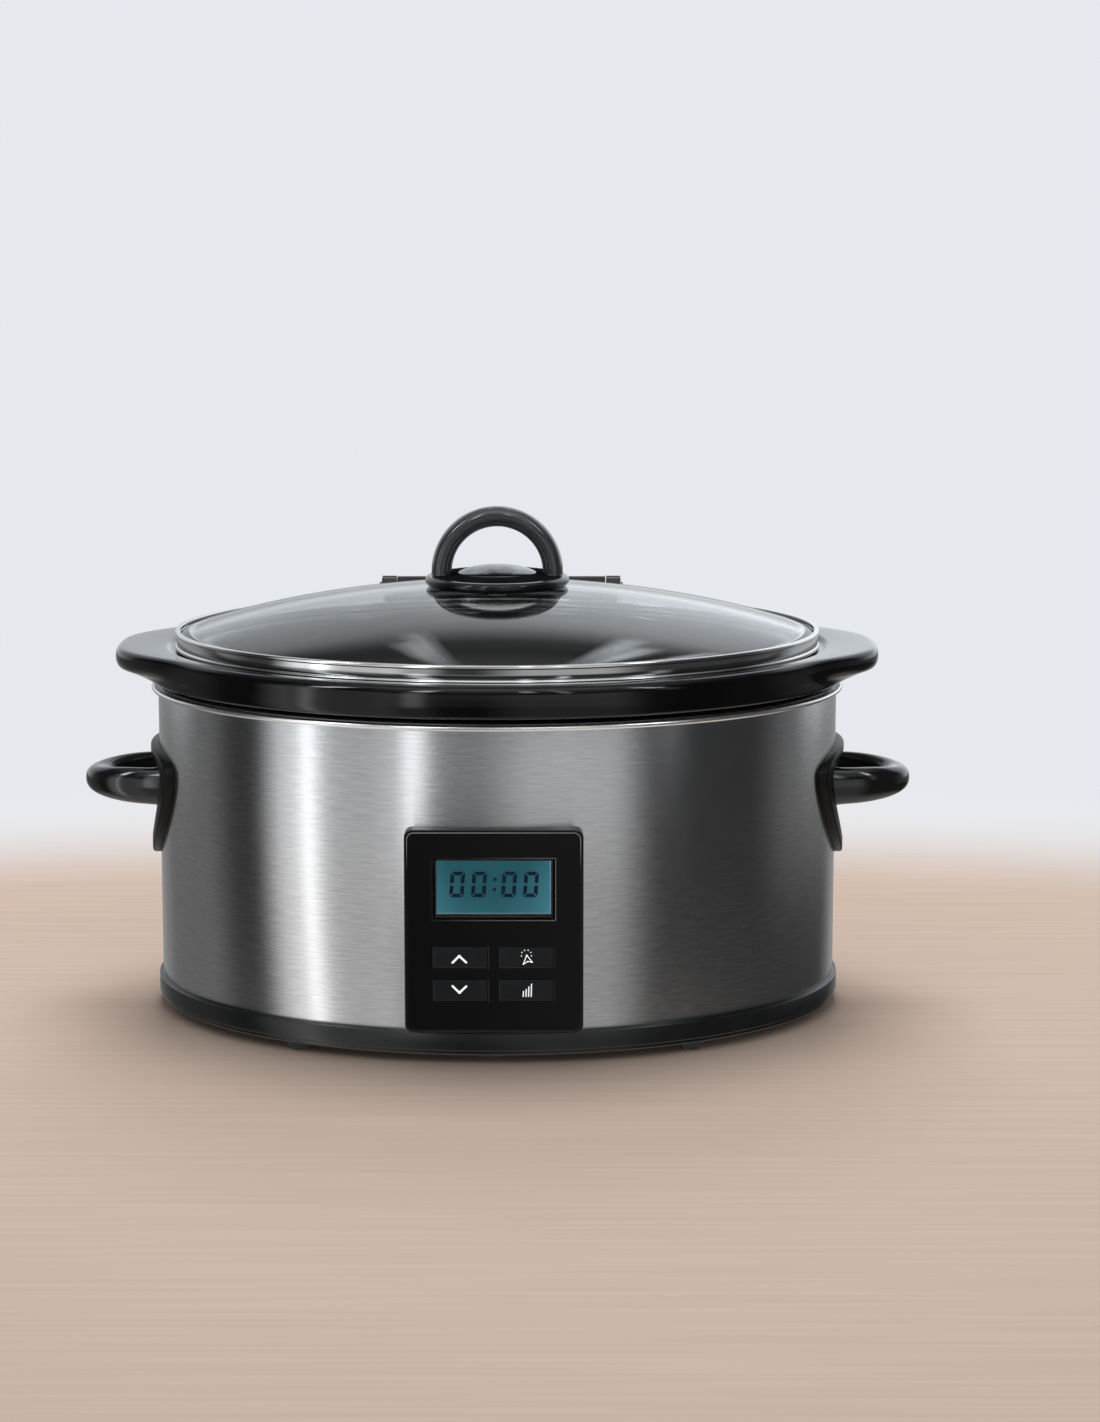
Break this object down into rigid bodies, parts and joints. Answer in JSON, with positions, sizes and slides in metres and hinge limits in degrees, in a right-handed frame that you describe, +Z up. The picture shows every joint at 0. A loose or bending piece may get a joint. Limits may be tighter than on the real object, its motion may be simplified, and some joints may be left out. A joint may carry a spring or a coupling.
{
  "type": "slow cooker",
  "caption": "Oval slow cooker with a hinged glass lid, a lift-out stoneware crock, side handles and a flat panel with a digital display and push buttons.",
  "frame": {"origin": "on the table, under the middle of the whole part's box, so 10 mm behind the middle of the oval pot", "axes": "+X to the right across the handles, +Y to the back where the lid's hinge is, +Z up, front panel towards -Y"},
  "size_m": [0.434, 0.3115, 0.2619],
  "materials": {
    "shell_steel": "brushed round the body",
    "rim_steel": "satin",
    "well_metal": "plain sheet",
    "heater_metal": "foil-backed band",
    "zinc_steel": "zinc plated",
    "screw_steel": "zinc plated",
    "mineral_wool": "pressed wool",
    "base_black": "semi-gloss",
    "plate_metal": "matt black paint",
    "foot_rubber": "matt",
    "shield_metal": "bright sheet",
    "sensor_metal": "satin",
    "board_green": "solder mask",
    "brass_standoff": "turned",
    "transformer_yellow": "tape",
    "relay_blue": "moulded",
    "capacitor_black": "sleeve",
    "terminal_green": "moulded",
    "lead_sleeve": "silicone sleeve",
    "inlet_black": "moulded",
    "panel_black": "gloss",
    "lens_black": "high gloss",
    "window_clear": "clear",
    "lcd_glass": "teal display",
    "backlight_white": "diffuser",
    "chip_black": "moulded",
    "switch_black": "moulded",
    "ribbon_grey": "flat cable",
    "button_black": "semi-gloss",
    "handle_black": "gloss",
    "hinge_black": "semi-gloss",
    "crock_glaze": "black glaze",
    "pin_steel": "polished",
    "lid_steel": "polished",
    "lid_glass": "clear",
    "seal_rubber": "silicone",
    "knob_black": "gloss",
    "knob_chrome": "mirror"
  },
  "bodies": {
    "housing": {"outer_shell": "shell_steel", "steel_rim": "rim_steel", "heating_well": "well_metal", "heating_band": "heater_metal", "band_clamp": "zinc_steel", "band_screw": "screw_steel", "well_insulation": "mineral_wool", "base_ring": "base_black", "base_plate": "plate_metal", "base_screws": "screw_steel", "feet": "foot_rubber", "tie_posts": "zinc_steel", "heat_shield": "shield_metal", "shield_spacers": "zinc_steel", "temp_sensor": "sensor_metal", "sensor_spring": "screw_steel", "thermal_fuse": "sensor_metal", "power_board": "board_green", "board_standoffs": "brass_standoff", "transformer": "transformer_yellow", "relay": "relay_blue", "capacitor": "capacitor_black", "terminal_block": "terminal_green", "heater_leads": "lead_sleeve", "cord_inlet": "inlet_black", "panel_housing": "panel_black", "panel_lens": "lens_black", "lcd_window": "window_clear", "lcd_module": "lcd_glass", "lcd_backlight": "backlight_white", "control_board": "board_green", "board_chips": "chip_black", "tact_switches": "switch_black", "ribbon_cable": "ribbon_grey", "left_handle": "handle_black", "right_handle": "handle_black", "handle_screws": "screw_steel", "hinge_post": "hinge_black", "hinge_screws": "screw_steel"},
    "crock": {"crock": "crock_glaze"},
    "hinge_pin": {"hinge_pin": "pin_steel"},
    "lid": {"lid_rim": "lid_steel", "lid_glass": "lid_glass", "lid_seal": "seal_rubber", "lid_bracket": "hinge_black", "bracket_rivets": "screw_steel", "knob_base": "knob_black", "knob_arch": "knob_black", "knob_disc": "knob_chrome", "knob_washer": "seal_rubber", "knob_screw": "screw_steel"},
    "button_up": {"button_up": "button_black"},
    "button_down": {"button_down": "button_black"},
    "button_mode": {"button_mode": "button_black"},
    "button_level": {"button_level": "button_black"}
  },
  "joints": [
    {"name": "crock_lift", "type": "slide", "parent": "housing", "child": "crock", "axis": [0, 0, 1], "range_m": [0, 0.15]},
    {"name": "lid_lift", "type": "slide", "parent": "crock", "child": "hinge_pin", "axis": [0, 0, 1], "range_m": [0, 0.08]},
    {"name": "lid_hinge", "type": "hinge", "parent": "hinge_pin", "child": "lid", "pos_m": [0, 0.148, 0.1975], "axis": [-1, 0, 0], "range_deg": [0, 95]},
    {"name": "press_up", "type": "slide", "parent": "housing", "child": "button_up", "axis": [0, 1, 0], "range_m": [0, 0.001], "stiffness_N_per_m": 300},
    {"name": "press_down", "type": "slide", "parent": "housing", "child": "button_down", "axis": [0, 1, 0], "range_m": [0, 0.001], "stiffness_N_per_m": 300},
    {"name": "press_mode", "type": "slide", "parent": "housing", "child": "button_mode", "axis": [0, 1, 0], "range_m": [0, 0.001], "stiffness_N_per_m": 300},
    {"name": "press_level", "type": "slide", "parent": "housing", "child": "button_level", "axis": [0, 1, 0], "range_m": [0, 0.001], "stiffness_N_per_m": 300}
  ]
}
